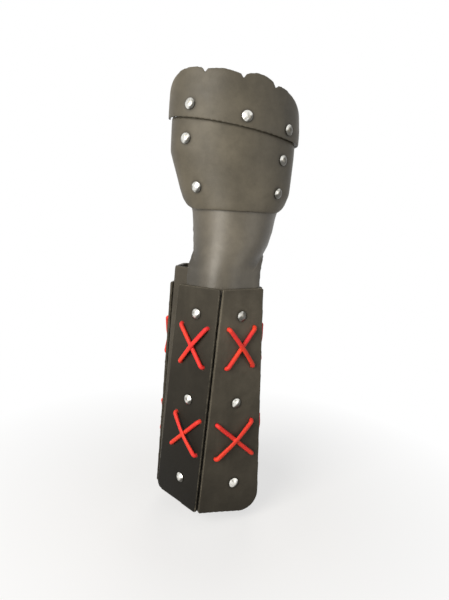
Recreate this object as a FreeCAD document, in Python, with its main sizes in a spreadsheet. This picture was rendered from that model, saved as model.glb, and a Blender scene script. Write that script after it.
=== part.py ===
import FreeCAD, Part
import math
import os
import Sketcher

# A leather forearm gauntlet for the right hand. Z runs up from the elbow to the fingers, the back of the
# hand looks to minus Y and the thumb side is at minus X. The origin is the centre of the elbow opening.
doc = FreeCAD.newDocument("forearm_gauntlet")
sheet = doc.addObject("Spreadsheet::Sheet", "sizes")
Vector = FreeCAD.Vector
Z_AXIS = Vector(0, 0, 1)

# Driving sizes, millimetres and degrees.
SIZES = {
    # forearm: the four splints and the tube that they lie on, at the elbow end and at the wrist end
    "splint_length": 205.7,
    "splint_thickness": 2.6,
    "splint_seat": 0.2,
    "ridge_elbow": 50.7,
    "ridge_wrist": 44.65,
    "ridge_lean": 34.47,
    "ridge_gap": 0.2,
    "left_front_width_elbow": 58.2,
    "left_front_width_wrist": 44.7,
    "right_front_width_elbow": 60.4,
    "right_front_width_wrist": 44.7,
    "right_front_drop": 8.0,
    "side_start": 4.0,
    "side_width_elbow": 40.0,
    "side_width_wrist": 33.0,
    "corner_small": 2.0,
    "corner_lower": 6.0,
    "corner_large": 17.0,
    "twist_elbow": -11.5,
    "twist_wrist": 1.87,
    "left_half_elbow": 51.5,
    "left_half_wrist": 45.0,
    "right_half_elbow": 45.0,
    "right_half_wrist": 36.3,
    "left_side_lean": 10.0,
    "right_side_lean": 10.0,
    "back_elbow": 46.0,
    "back_wrist": 38.0,
    "back_lean": 20.0,
    "opening_elbow": 28.0,
    "opening_wrist": 24.0,
    "base_rise": 15.3,
    "base_wall": 2.8,
    "base_bend": 6.0,
    "ridge_bend_top": 24.0,
    # wrist guard: its tail lies between the tube and the front splints
    "tail_thickness": 1.2,
    "tail_fit": 0.36,
    "tail_length": 29.7,
    "tail_left_half": 39.0,
    "tail_right_half": 43.0,
    "tail_round": 25.0,
    "tail_side": 10.0,
    "guard_thickness": 2.0,
    "guard_lap": 28.4,
    # hand form, the guard's outer face: each station's rise above the one below, from the splints' top,
    # its half width, crown, sideways shift and turn
    "side_round_share": 0.45,
    "waist_rise": 37.3,
    "waist_half": 35.2,
    "waist_crown": 34.5,
    "waist_shift": 6.8,
    "waist_turn": 4.2,
    "waist_wrap": 70.0,
    "flare_rise": 13.0,
    "flare_half": 37.4,
    "flare_crown": 33.5,
    "flare_shift": 8.3,
    "flare_turn": 5.2,
    "flare_wrap": 84.0,
    "cuff_rise": 15.6,
    "cuff_half": 39.2,
    "cuff_crown": 33.0,
    "cuff_shift": 9.0,
    "cuff_turn": 6.2,
    "heel_rise": 18.4,
    "heel_crown": 33.0,
    "heel_shift": 8.5,
    "heel_turn": 7.4,
    "palm_rise": 32.0,
    "palm_crown": 34.3,
    "palm_shift": 4.6,
    "palm_turn": 8.0,
    "knuckle_rise": 23.0,
    "knuckle_half": 53.2,
    "knuckle_crown": 35.0,
    "knuckle_shift": 4.6,
    "knuckle_turn": 8.0,
    "finger_rise": 47.0,
    "finger_crown": 33.0,
    "finger_shift": 3.3,
    "finger_turn": 8.0,
    # hand plate and knuckle plate
    "plate_thickness": 2.4,
    "plate_fit": 0.3,
    "plate_tail": 6.0,
    "slide_gap": 0.8,
    "plate_corner": 9.0,
    "plate_corner_rise": 2.4,
    "lap": 2.0,
    "knuckle_edge_drop": 3.3,
    "knuckle_slope": 7.8,
    # bulges of the knuckle plate's scalloped top, from the thumb side to the little finger
    "shoulder_rise": 5.6,
    "lobe_one_rise": 1.3,
    "lobe_two_rise": 2.2,
    "lobe_three_rise": 4.3,
    "lobe_four_rise": 9.0,
    # hinge leather, square to the sloping knuckle line: heights are above and below that line
    "hinge_thickness": 1.6,
    "hinge_below": 25.0,
    "hinge_step_low": 2.7,
    "hinge_step_high": 4.0,
    "hinge_above": 18.0,
    "hinge_step": 2.9,
    "hinge_wrap": 68.0,
    "finger_strap_inset": 2.6,
    # rivets
    "cap_radius": 4.5,
    "cap_dome": 2.3,
    "cap_rim": 0.5,
    "shank_radius": 1.5,
    "back_cap_radius": 4.0,
    "back_cap_thickness": 0.9,
    "back_cap_gap": 0.15,
    "rivet_fit": 0.05,
    "hand_rivet_drop_left": 11.3,
    "hand_rivet_drop_right": 23.5,
    "hand_rivet_rise_left": 19.3,
    "hand_rivet_rise_right": 18.0,
    "knuckle_rivet_left": 15.4,
    "knuckle_rivet_middle": 6.9,
    "knuckle_rivet_right": 1.4,
    # laces
    "lace_radius": 1.75,
    "lace_fit": 0.05,
    "lace_lift": 0.35,
    "lace_bend": 2.4,
    "lace_cross": 3.75,
    "lace_arch": 40.0,
    "lace_knot": 2.9,
    "lace_knot_height": 2.2,
    "lace_knot_round": 0.8,
    "knot_gap": 1.7,
    "lace_stagger": 2.6,
    # closure straps and buckles
    "strap_width": 16.0,
    "strap_thickness": 2.0,
    "strap_seat": 0.5,
    "strap_end": 27.0,
    "strap_rivet": 20.4,
    "wire_radius": 1.3,
    "wire_fit": 0.15,
    "bar_spacing": 18.0,
    "bar_inset": 5.0,
    "frame_side_gap": 1.7,
    "frame_corner": 2.6,
    "chape_length": 22.0,
    "chape_gap": 1.4,
    "chape_slot": 5.0,
    "chape_rivet": 11.5,
    "fold_run": 1.0,
    "fold_end": 7.0,
    "tongue_radius": 1.0,
    "tongue_over": 2.6,
    "tongue_side_gap": 0.35,
    "strap_rise_start": 2.0,
    "strap_rise_end": 3.0,
    "slot_before": 6.2,
    "slot_after": 4.2,
    "tail_reach": 24.0,
    "keeper_thickness": 1.1,
    "keeper_width": 5.0,
    "keeper_place": 18.6,
    # palm strap and finger strap, inside the plates and held by their rivets
    "palm_strap_rise": 19.4,
    "palm_strap_width": 20.0,
    "palm_strap_depth": 30.0,
    "finger_strap_rise": 5.4,
    "finger_strap_width": 12.0,
    "finger_strap_depth": 24.0,
    "hand_strap_thickness": 2.0,
    "hand_strap_fit": 0.5,
    "hand_strap_bend": 12.0,
    # one length that every cut runs past its faces
    "overrun": 6.0,
}

for row, (alias, value) in enumerate(SIZES.items(), 1):
    sheet.set("A%d" % row, alias)
    sheet.set("B%d" % row, str(value))
    sheet.setAlias("B%d" % row, alias)
doc.recompute()

nodes = []


class Measure:
    """A number together with the expression over the sheet's sizes that gives it."""

    def __init__(self, text, value):
        self.text = text
        self.value = value

    def __add__(self, other):
        other = measure(other)
        return Measure("(%s + %s)" % (self.text, other.text), self.value + other.value)

    def __radd__(self, other):
        return measure(other) + self

    def __sub__(self, other):
        other = measure(other)
        return Measure("(%s - %s)" % (self.text, other.text), self.value - other.value)

    def __rsub__(self, other):
        return measure(other) - self

    def __mul__(self, other):
        other = measure(other)
        return Measure("%s * %s" % (self.text, other.text), self.value * other.value)

    def __truediv__(self, other):
        other = measure(other)
        return Measure("%s / (%s)" % (self.text, other.text), self.value / other.value)

    def __rtruediv__(self, other):
        return measure(other) / self

    def __neg__(self):
        return Measure("(0 - %s)" % self.text, -self.value)


def measure(thing):
    return thing if isinstance(thing, Measure) else Measure("(%r)" % thing, float(thing))


def dim(name):
    return Measure("sizes." + name, float(sheet.get(name)))


def size(name):
    return dim(name).value


def sine(angle):
    return Measure("sin(%s)" % angle.text, math.sin(math.radians(angle.value)))


def cosine(angle):
    return Measure("cos(%s)" % angle.text, math.cos(math.radians(angle.value)))


def tangent(angle):
    return sine(angle) / cosine(angle)


def arc_sine(ratio):
    return Measure("asin(%s)" % ratio.text, math.degrees(math.asin(ratio.value)))


def node(thing, label):
    thing.Label = label
    nodes.append(thing)
    return thing


def new_body(label):
    body = doc.addObject("PartDesign::Body", label)
    body.Label = label
    return body


def plane_of(body, role):
    return [face for face in body.Origin.OriginFeatures if face.Role == role][0]


def new_sketch(body, name, role, across=None, along=None, lift=None, turn=None):
    sketch = body.newObject("Sketcher::SketchObject", name)
    sketch.AttachmentSupport = (plane_of(body, role), [""])
    sketch.MapMode = "FlatFace"
    for path, value in (("Base.x", across), ("Base.y", along), ("Base.z", lift), ("Rotation.Angle", turn)):
        if value is not None:
            sketch.setExpression("AttachmentOffset." + path, value.text)
    return sketch


def pin(sketch, segment, end, point):
    for kind, value in zip(("DistanceX", "DistanceY"), point):
        value = measure(value)
        index = sketch.addConstraint(Sketcher.Constraint(kind, segment, end, value.value))
        sketch.setExpression("Constraints[%d]" % index, value.text)


def arc_between(start, end, radius):
    # a positive radius turns left on the way from start to end, a negative one turns right
    chord = end - start
    half = chord.Length / 2
    reach = math.sqrt(max(radius * radius - half * half, 0))
    left = Vector(-chord.y, chord.x, 0).normalize()
    centre = (start + end) * 0.5 + left * math.copysign(reach, radius)
    circle = Part.Circle(centre, Z_AXIS, abs(radius))
    if radius > 0:
        return Part.ArcOfCircle(circle, circle.parameter(start), circle.parameter(end))
    return Part.ArcOfCircle(circle, circle.parameter(end), circle.parameter(start))


def draw(sketch, points, radii=None, closed=True):
    # straight segments from point to point, or arcs where radii names the segment
    radii = {step: measure(radius) for step, radius in (radii or {}).items()}
    points = [(measure(x), measure(y)) for x, y in points]
    places = [Vector(x.value, y.value, 0) for x, y in points]
    count = len(points) if closed else len(points) - 1
    first = sketch.GeometryCount
    ends = []
    for step in range(count):
        start = places[step]
        end = places[(step + 1) % len(places)]
        radius = radii.get(step)
        if radius is None:
            sketch.addGeometry(Part.LineSegment(start, end))
            ends.append((1, 2))
        else:
            sketch.addGeometry(arc_between(start, end, radius.value))
            ends.append((1, 2) if radius.value > 0 else (2, 1))
            bound = sketch.addConstraint(Sketcher.Constraint("Radius", first + step, abs(radius.value)))
            sketch.setExpression("Constraints[%d]" % bound, "abs(%s)" % radius.text)
        pin(sketch, first + step, ends[step][0], points[step])
    for step in range(count if closed else count - 1):
        following = (step + 1) % count
        sketch.addConstraint(Sketcher.Constraint(
            "Coincident", first + step, ends[step][1], first + following, ends[following][0]))
    if not closed:
        pin(sketch, first + count - 1, ends[-1][1], points[-1])


def loft(body, name, sketches, ruled=True):
    feature = body.newObject("PartDesign::AdditiveLoft", name)
    feature.Profile = (sketches[0], [""])
    feature.Sections = [(sketch, [""]) for sketch in sketches[1:]]
    feature.Ruled = ruled
    body.Tip = feature
    for sketch in sketches:
        sketch.Visibility = False
    doc.recompute()
    return feature


def between(low, high, share):
    return low + (high - low) * share


# The forearm tube is a six sided section, a ridge in front and a flatter back, cut open along the back.
lean = dim("ridge_lean")
back_lean = dim("back_lean")
base_height = dim("splint_length") + dim("base_rise")
base_share = base_height / dim("splint_length")


def section(share):
    # the outline of the splints' inner faces, at a height given as a share of the splints' length
    names = ("ridge", "left_half", "right_half", "back", "opening", "twist")
    return {name: between(dim(name + "_elbow"), dim(name + "_wrist"), share) for name in names}


def front_gap(share):
    # the room between the tube and the front splints grows upward, where the guard's tail goes in
    room = dim("tail_thickness") + dim("tail_fit") * 4
    return dim("splint_seat") + (room - dim("splint_seat")) * share


def side_corners(cut, half, side_lean, ridge, back, inset):
    # where a side flat meets the front flat and the back flat, as distances from the ridge line
    slope = tangent(side_lean)
    foot = half * tangent(lean) - cut["ridge"]
    start = half - (dim("splint_seat") + inset) / cosine(side_lean)
    front = (start + (ridge + foot) * slope) / (tangent(lean) * slope + 1)
    rear = (start - (back - foot) * slope) / (1 - tangent(back_lean) * slope)
    return front, rear


def tube_outline(share, inset):
    # corner points of the tube's outline from the back opening round the front to the opening again
    cut = section(share)
    ridge = cut["ridge"] - (front_gap(share) + inset) / cosine(lean)
    back = cut["back"] - inset / cosine(back_lean)
    left, left_rear = side_corners(cut, cut["left_half"], dim("left_side_lean"), ridge, back, inset)
    right, right_rear = side_corners(cut, cut["right_half"], dim("right_side_lean"), ridge, back, inset)
    gap = cut["opening"] / 2
    return [
        (-gap, back - gap * tangent(back_lean)),
        (-left_rear, back - left_rear * tangent(back_lean)),
        (-left, left * tangent(lean) - ridge),
        (0, -ridge),
        (right, right * tangent(lean) - ridge),
        (right_rear, back - right_rear * tangent(back_lean)),
        (gap, back - gap * tangent(back_lean)),
    ]


def step_along(point, heading, reach):
    return point[0] + cosine(heading) * reach, point[1] + sine(heading) * reach


def rounded(points, headings, radii):
    # an open path whose corners are arcs, and the radius of each arc under its place in the path
    path = [points[0]]
    bends = {}
    for corner, heading, following, radius in zip(points[1:-1], headings, headings[1:], radii):
        reach = radius * tangent((following - heading) / 2)
        bends[len(path)] = radius
        path.append(step_along(corner, heading, -reach))
        path.append(step_along(corner, following, reach))
    path.append(points[-1])
    return path, bends


def shell_section(sketch, outer, inner, outer_radii, inner_radii):
    # a closed wall: the outer path, then the inner path on the way back
    count = len(outer) + len(inner)
    radii = dict(outer_radii)
    radii.update({count - 2 - step: -radius for step, radius in inner_radii.items()})
    draw(sketch, outer + inner[::-1], radii)


base_headings = [back_lean + 180, 270 - dim("left_side_lean"), 360 - lean, 360 + lean,
                 450 + dim("right_side_lean"), 540 - back_lean]
base_blank = new_body("forearm_base_blank")
base_sections = []
for height, share in ((measure(0), measure(0)), (base_height, base_share)):
    sketch = new_sketch(base_blank, "base_section", "XY_Plane", lift=height, turn=section(share)["twist"])
    radii = [dim("base_bend")] * 5
    radii[2] = between(dim("base_bend"), dim("ridge_bend_top"), share)
    outer, outer_radii = rounded(tube_outline(share, 0), base_headings, radii)
    radii = [radius - dim("base_wall") for radius in radii]
    inner, inner_radii = rounded(tube_outline(share, dim("base_wall")), base_headings, radii)
    shell_section(sketch, outer, inner, outer_radii, inner_radii)
    base_sections.append(sketch)
loft(base_blank, "base_loft", base_sections)


# Each splint is a flat plate that follows the twist. It lies against one flat of the tube.
class Plate:
    """Where a splint lies: the corners of its inner face at both ends, and its outward direction."""

    def __init__(self, label, sign, side):
        self.label = label
        self.sign = sign
        self.side = side
        side_lean = dim("left_side_lean") if sign < 0 else dim("right_side_lean")
        self.lean = side_lean + 90 if side else lean
        self.start = dim("side_start") if side else dim("ridge_gap")
        self.ends = []
        for end, height in (("elbow", measure(0)), ("wrist", dim("splint_length"))):
            cut = section(0 if end == "elbow" else 1)
            half = cut["left_half"] if sign < 0 else cut["right_half"]
            ridge_foot = (measure(0), -cut["ridge"])
            foot = (half * sign, half * tangent(lean) - cut["ridge"]) if side else ridge_foot
            name = "side_width_" if side else ("left_front_width_" if sign < 0 else "right_front_width_")
            width = dim(name + end)
            self.ends.append((foot, width, cut["twist"], height))

    def corner(self, end, across, out):
        # a point of the end section: a share of the width, and a distance out from the inner face
        foot, width, twist, height = self.ends[end]
        reach = Vector(self.sign * (self.start.value + across * width.value), -out, 0)
        placed = FreeCAD.Rotation(Z_AXIS, self.sign * self.lean.value).multVec(reach)
        placed = placed + Vector(measure(foot[0]).value, measure(foot[1]).value, height.value)
        return FreeCAD.Rotation(Z_AXIS, twist.value).multVec(placed)

    def point(self, height, across, out=0.0):
        share = height / size("splint_length")
        return self.corner(0, across, out) * (1 - share) + self.corner(1, across, out) * share

    def normal(self, height, across):
        along = self.corner(1, across, 0) - self.corner(0, across, 0)
        wide = self.point(height, 1) - self.point(height, 0)
        return wide.cross(along).normalize() * self.sign


def splint_blank(plate):
    # the right front splint hangs lower at its outer corner, so its blank starts below the others
    body = new_body(plate.label + "_blank")
    sketches = []
    ends = list(plate.ends)
    if plate.label == "right_front_splint":
        drop = -dim("right_front_drop")
        share = drop / dim("splint_length")
        cut = section(share)
        low, high = (end[1] for end in ends)
        ends[0] = ((measure(0), -cut["ridge"]), between(low, high, share), cut["twist"], drop)
    for foot, width, twist, height in ends:
        x, y = foot
        sketch = new_sketch(body, plate.label + "_end", "XY_Plane",
                            across=x * cosine(twist) - y * sine(twist),
                            along=x * sine(twist) + y * cosine(twist),
                            lift=height, turn=twist + plate.lean * plate.sign)
        near = plate.start * plate.sign
        far = (plate.start + width) * plate.sign
        out = -dim("splint_thickness")
        draw(sketch, [(near, 0), (far, 0), (far, out), (near, out)])
        sketches.append(sketch)
    loft(body, plate.label + "_loft", sketches)
    return body


def corner_cutter(corner, inward, upward, normal, radius):
    # the waste outside a rounded corner: inward and upward run from the corner along the plate's edges
    over = size("overrun")
    half = inward.getAngle(upward) / 2
    reach = radius / math.tan(half)
    centre = corner + (inward + upward).normalize() * (radius / math.sin(half))
    middle = centre - (inward + upward).normalize() * radius
    low = corner - normal * over
    shift = low - corner
    start = corner + inward * reach + shift
    end = corner + upward * reach + shift
    outside = [end, end - inward * over, low - (inward + upward) * over, start - upward * over, start]
    edges = [Part.Arc(start, middle + shift, end).toShape()]
    edges += [Part.makeLine(one, two) for one, two in zip(outside, outside[1:])]
    return Part.Face(Part.Wire(edges)).extrude(normal * 2 * over)


def dropped_corner(plate):
    # the outer lower corner of the right front splint
    return plate.point(-size("right_front_drop"), 1)


def slope_cutter(plate):
    # the waste below the sloping lower edge of the right front splint
    over = size("overrun")
    inner = plate.corner(0, 0, 0)
    outer = dropped_corner(plate)
    normal = plate.normal(0, 0)
    way = (outer - inner).normalize() * over
    low = Vector(0, 0, -2 * over)
    ring = [inner - way, outer + way, outer + way + low, inner - way + low, inner - way]
    face = Part.Face(Part.makePolygon([point - normal * over for point in ring]))
    return face.extrude(normal * 2 * over)


def plate_corner_cutters(plate):
    cutters = []
    if plate.label == "right_front_splint":
        cutters.append(slope_cutter(plate))
    for end in (0, 1):
        for across in (0, 1):
            lowest = [plate.corner(0, 0, 0), plate.corner(0, 1, 0)]
            if plate.label == "right_front_splint":
                lowest[1] = dropped_corner(plate)
            corners = (lowest, [plate.corner(1, 0, 0), plate.corner(1, 1, 0)])
            corner = corners[end][across]
            upward = (corners[1 - end][across] - corner).normalize()
            inward = (corners[end][1 - across] - corner).normalize()
            normal = plate.normal(plate.ends[end][3].value, across)
            radius = "corner_small"
            if (end, across) == (0, 1):
                radius = "corner_large" if plate.label == "right_front_splint" else "corner_lower"
            cutters.append(corner_cutter(corner, inward, upward, normal, size(radius)))
    return cutters


PLATES = {
    "left_side": Plate("left_side_splint", -1, True),
    "left_front": Plate("left_front_splint", -1, False),
    "right_front": Plate("right_front_splint", 1, False),
    "right_side": Plate("right_side_splint", 1, True),
}
doc.recompute()
blanks = {key: splint_blank(plate) for key, plate in PLATES.items()}


def rivet(point, normal, grip):
    # a domed cap with its underside at the point, a shank through the grip and a flat cap behind
    dome_high = size("cap_dome")
    rim = size("cap_rim")
    cap = size("cap_radius")
    bulge = (cap * cap + (dome_high - rim) ** 2) / (2 * (dome_high - rim))
    half_angle = math.asin(cap / bulge) / 2
    middle = Vector(bulge * math.sin(half_angle), 0, dome_high - bulge * (1 - math.cos(half_angle)))
    crest = Vector(0, 0, dome_high)
    lip = Vector(cap, 0, rim)
    foot = -grip - size("back_cap_thickness")
    profile = [lip, Vector(cap, 0, 0), Vector(size("shank_radius"), 0, 0),
               Vector(size("shank_radius"), 0, -grip), Vector(size("back_cap_radius"), 0, -grip),
               Vector(size("back_cap_radius"), 0, foot), Vector(0, 0, foot), crest]
    edges = [Part.Arc(crest, middle, lip).toShape()]
    edges += [Part.makeLine(one, two) for one, two in zip(profile, profile[1:])]
    solid = Part.Face(Part.Wire(edges)).revolve(Vector(), Z_AXIS, 360)
    solid.Placement = FreeCAD.Placement(point, FreeCAD.Rotation(Z_AXIS, normal))
    return solid


def drill(point, normal, depth, radius):
    # a hole's waste, from the overrun outside the point to the overrun past the depth
    over = size("overrun")
    return Part.makeCylinder(radius, depth + 2 * over, point + normal * over, -normal)


def group(label, solids):
    thing = doc.addObject("Part::Feature", label)
    thing.Shape = Part.Compound(solids)
    return node(thing, label)


def cut_away(blank, waste, label):
    tool = doc.addObject("Part::Feature", label + "_waste")
    tool.Shape = Part.Compound(waste)
    cut = doc.addObject("Part::Cut", label)
    cut.Base = blank
    cut.Tool = tool
    return node(cut, label)


# Places on the splints: shares of the width from the inner edge for rivets, low to high, and for both ends
# of the two crossed laces of each cross, and shares of the length for their rows. The first lace of a cross
# goes over the second.
RIVET_SHARES = {
    "left_side": (0.5, 0.5, 0.5),
    "left_front": (0.435, 0.45, 0.485),
    "right_front": (0.555, 0.5, 0.485),
    "right_side": (0.5, 0.5, 0.5),
}
LACE_SHARES = {
    "left_side": (((0.2, 0.8), (0.8, 0.22)), ((0.2, 0.78), (0.8, 0.2))),
    "left_front": (((0.18, 0.725), (0.8, 0.19)), ((0.7, 0.125), (0.125, 0.72))),
    "right_front": (((0.21, 0.79), (0.8, 0.24)), ((0.82, 0.2), (0.165, 0.855))),
    "right_side": (((0.2, 0.8), (0.8, 0.22)), ((0.2, 0.78), (0.8, 0.2))),
}
RIVET_ROW_SHARES = (0.1191, 0.4944, 0.8824)
LACE_ROW_SHARES = ((0.8294, 0.6573), (0.4113, 0.2543))


def wall_depth(point, normal, wall):
    # from a point outside a wall along the inward normal to where that wall ends
    line = Part.makeLine(point, point - normal * size("ridge_elbow"))
    inside = line.common(wall.Shape).Edges
    spans = sorted(sorted((vertex.Point - point).Length for vertex in edge.Vertexes) for edge in inside)
    depth = spans[0][1]
    for start, end in spans[1:]:
        if start < depth + size("rivet_fit"):
            depth = max(depth, end)
    return depth


def splint_rivets(key):
    plate = PLATES[key]
    rivets = []
    holes = []
    for row, across in zip(RIVET_ROW_SHARES, RIVET_SHARES[key]):
        height = size("splint_length") * row
        out = size("splint_thickness") + size("rivet_fit")
        point = plate.point(height, across, out)
        normal = plate.normal(height, across)
        grip = wall_depth(point, normal, base_blank) + size("back_cap_gap")
        rivets.append(rivet(point, normal, grip))
        holes.append(drill(point, normal, grip, size("shank_radius") + size("rivet_fit")))
    return rivets, holes


def thong(points, bends):
    # a round lace along straight runs joined by arcs
    edges = []
    start = points[0]
    for before, corner, after, bend in zip(points, points[1:], points[2:], bends):
        back = (before - corner).normalize()
        forth = (after - corner).normalize()
        half = back.getAngle(forth) / 2
        reach = bend / math.tan(half)
        centre = corner + (back + forth).normalize() * (bend / math.sin(half))
        middle = centre - (back + forth).normalize() * bend
        edges.append(Part.makeLine(start, corner + back * reach))
        edges.append(Part.Arc(corner + back * reach, middle, corner + forth * reach).toShape())
        start = corner + forth * reach
    edges.append(Part.makeLine(start, points[-1]))
    profile = Part.Wire([Part.makeCircle(size("lace_radius"), points[0], points[1] - points[0])])
    return Part.Wire(edges).makePipeShell([profile], True, False)


def lace_knot(point, direction):
    knot = Part.makeCylinder(size("lace_knot"), size("lace_knot_height"), point, direction)
    return knot.makeFillet(size("lace_knot_round"), knot.Edges)


def crossed_laces(key):
    plate = PLATES[key]
    laces = []
    holes = []
    lift = size("splint_thickness") + size("lace_radius") + size("lace_lift")
    for rows, cross, slip in zip(LACE_ROW_SHARES, LACE_SHARES[key], (0, 1)):
        stagger = -plate.sign * slip * size("lace_stagger") / 2
        for order, ends in enumerate(cross):
            heights = [size("splint_length") * row + stagger for row in rows]
            normals = [plate.normal(height, across) for height, across in zip(heights, ends)]
            tops = [plate.point(height, across, lift) for height, across in zip(heights, ends)]
            depths = [wall_depth(top, normal, base_blank) for top, normal in zip(tops, normals)]
            feet = [top - normal * (depth + size("knot_gap"))
                    for top, normal, depth in zip(tops, normals, depths)]
            points = [feet[0], tops[0], tops[1], feet[1]]
            bends = [size("lace_bend")] * 2
            if order == 0:
                over = (tops[0] + tops[1]) * 0.5 + plate.normal(heights[0], ends[0]) * size("lace_cross")
                points.insert(2, over)
                bends.insert(1, size("lace_arch"))
            lace = thong(points, bends)
            for foot, normal in zip(feet, normals):
                lace = lace.fuse(lace_knot(foot, -normal))
            laces.append(lace)
            radius = size("lace_radius") + size("lace_fit")
            holes += [drill(top, normal, depth, radius) for top, normal, depth in zip(tops, normals, depths)]
    return laces, holes


all_rivets = []
tube_holes = []
guard_holes = []
for key, plate in PLATES.items():
    rivets, rivet_holes = splint_rivets(key)
    laces, lace_holes = crossed_laces(key)
    all_rivets += rivets
    tube_holes += rivet_holes + lace_holes
    if not plate.side:
        guard_holes.append(rivet_holes[-1])
    cut_away(blanks[key], plate_corner_cutters(plate) + rivet_holes + lace_holes, plate.label)
    group(key + "_laces", laces)
group("splint_rivets", all_rivets)


# The hand form: the outer face of the wrist guard, station by station up the hand.
# The hand widens as one, so the half widths above the cuff are shares of the one at the knuckles.
STATIONS = ("waist", "flare", "cuff", "heel", "palm", "knuckle", "finger")
HALF_WIDTH_SHARES = {"heel": 0.891, "palm": 1, "knuckle": 1, "finger": 0.9474}
heights = {}
level = dim("splint_length")
for name in STATIONS:
    level = level + dim(name + "_rise")
    heights[name] = level
knuckle_edge = heights["knuckle"] - dim("knuckle_edge_drop")


def station(name, part):
    if part == "half" and name in HALF_WIDTH_SHARES:
        return dim("knuckle_half") * HALF_WIDTH_SHARES[name]
    return dim(name + "_" + part)


def form_at(height):
    # half width, crown, sideways shift and turn of the form, straight from station to station
    reached = [name for name in STATIONS[:-1] if heights[name].value <= height.value]
    low = reached[-1] if reached else STATIONS[0]
    high = STATIONS[STATIONS.index(low) + 1]
    share = (height - heights[low]) / (heights[high] - heights[low])
    return {part: between(station(low, part), station(high, part), share)
            for part in ("half", "crown", "shift", "turn")}


def form_path(half, crown, offset, tail=None, wrap=None, thirds=False):
    # a crown arc and two side arcs, then either straight tails or arc ends at the wrap angle
    side = half * dim("side_round_share")
    reach = half - side
    round_crown = (reach * reach + crown * crown - side * side) / ((crown - side) * 2)
    centre = round_crown - crown
    sine_join = reach / (round_crown - side)
    cosine_join = centre / (round_crown - side)
    big = round_crown + offset
    small = side + offset
    join = (big * sine_join, centre - big * cosine_join)
    if wrap is None:
        ends = [(half + offset, 0), (half + offset, tail)]
    else:
        ends = [(reach + small * sine(wrap), -(small * cosine(wrap)))]
    right = [join] + ends
    if thirds:
        angle = arc_sine(sine_join) / 3
        right.insert(0, (big * sine(angle), centre - big * cosine(angle)))
    left = [(-x, y) for x, y in right]
    arcs = [small] + [big] * (3 if thirds else 1) + [small]
    return left[::-1] + right, dict(enumerate(arcs, len(ends) - 1))


def form_section(body, height, offset, wall, tail=None, wrap=None, lean_back=None, thirds=False):
    form = form_at(height)
    lift = height
    across = form["shift"]
    if lean_back is not None:
        lift = height - knuckle_edge
        across = across - lift * sine(lean_back)
    sketch = new_sketch(body, "form_section", "XY_Plane", across=across, lift=lift, turn=form["turn"])
    outer, outer_radii = form_path(form["half"], form["crown"], measure(offset), tail, wrap, thirds)
    inner, inner_radii = form_path(form["half"], form["crown"], measure(offset) - wall, tail, wrap, thirds)
    shell_section(sketch, outer, inner, outer_radii, inner_radii)
    return sketch


def tail_section(body, height, thickness):
    # the guard's tail: two flats under the front splints and a rounded ridge, in as many steps as the form
    share = height / dim("splint_length")
    cut = section(share)
    sketch = new_sketch(body, "tail_section", "XY_Plane", lift=height, turn=cut["twist"])
    paths = []
    for inset, bend in ((dim("tail_fit"), dim("tail_round")),
                        (dim("tail_fit") + thickness, dim("tail_round") - thickness)):
        ridge = cut["ridge"] - inset / cosine(lean)
        reach = bend * tangent(lean)
        points = []
        for sign, half in ((-1, dim("tail_left_half")), (1, dim("tail_right_half"))):
            side = [(cosine(lean) * length * sign, sine(lean) * length - ridge)
                    for length in (reach, half - dim("tail_side"), half)]
            points = side[::-1] if sign < 0 else points + side
        paths.append((points, {2: bend}))
    (outer, outer_radii), (inner, inner_radii) = paths
    shell_section(sketch, outer, inner, outer_radii, inner_radii)
    return sketch


guard = new_body("wrist_guard_blank")
guard_sections = [
    tail_section(guard, dim("splint_length") - dim("tail_length"), dim("tail_thickness")),
    tail_section(guard, base_height + dim("tail_fit"), dim("tail_thickness")),
]
GUARD_WRAPS = {"waist": dim("waist_wrap"), "flare": dim("flare_wrap")}
for name in STATIONS[:4] + ("guard",):
    height = heights["cuff"] + dim("guard_lap") if name == "guard" else heights[name]
    guard_sections.append(form_section(guard, height, 0, dim("guard_thickness"),
                                       wrap=GUARD_WRAPS.get(name, measure(90)), thirds=True))
loft(guard, "guard_loft", guard_sections)


def front_outline(label, points, radii):
    # a block with the given outline seen from the front, as deep as the hand and more
    body = new_body(label)
    sketch = new_sketch(body, label + "_outline", "XZ_Plane")
    draw(sketch, points, radii)
    pad = body.newObject("PartDesign::Pad", label + "_pad")
    pad.Profile = sketch
    pad.setExpression("Length", (dim("knuckle_half") * 4).text)
    pad.SideType = "Symmetric"
    body.Tip = pad
    return body


def form_plate(label, heights, offset, outline):
    body = new_body(label + "_arch")
    sections = [form_section(body, height, offset, dim("plate_thickness"), tail=dim("plate_tail"))
                for height in heights]
    loft(body, label + "_loft", sections)
    common = doc.addObject("Part::Common", label + "_blank")
    common.Base = body
    common.Tool = outline
    doc.recompute()
    return common


def knuckle_line(across, rise):
    # height of a line parallel to the knuckle plate's lower edge
    return knuckle_edge + rise - across * tangent(dim("knuckle_slope"))


wide = dim("knuckle_half") * 2
rim = dim("plate_fit") + dim("plate_thickness")
corner = dim("plate_corner")
level = heights["cuff"] + corner
cuff = form_at(heights["cuff"])
above = form_at(level)
corners = [
    (above["shift"] - above["half"] - rim, level),
    (cuff["shift"] - cuff["half"] - rim + corner, heights["cuff"]),
    (cuff["shift"] + cuff["half"] + rim - corner, heights["cuff"]),
    (above["shift"] + above["half"] + rim, level),
]


def bulge_radius(start, end, rise):
    wide_step = end[0] - start[0]
    high_step = end[1] - start[1]
    return (wide_step * wide_step + high_step * high_step) / (rise * 8) + rise / 2


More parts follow.
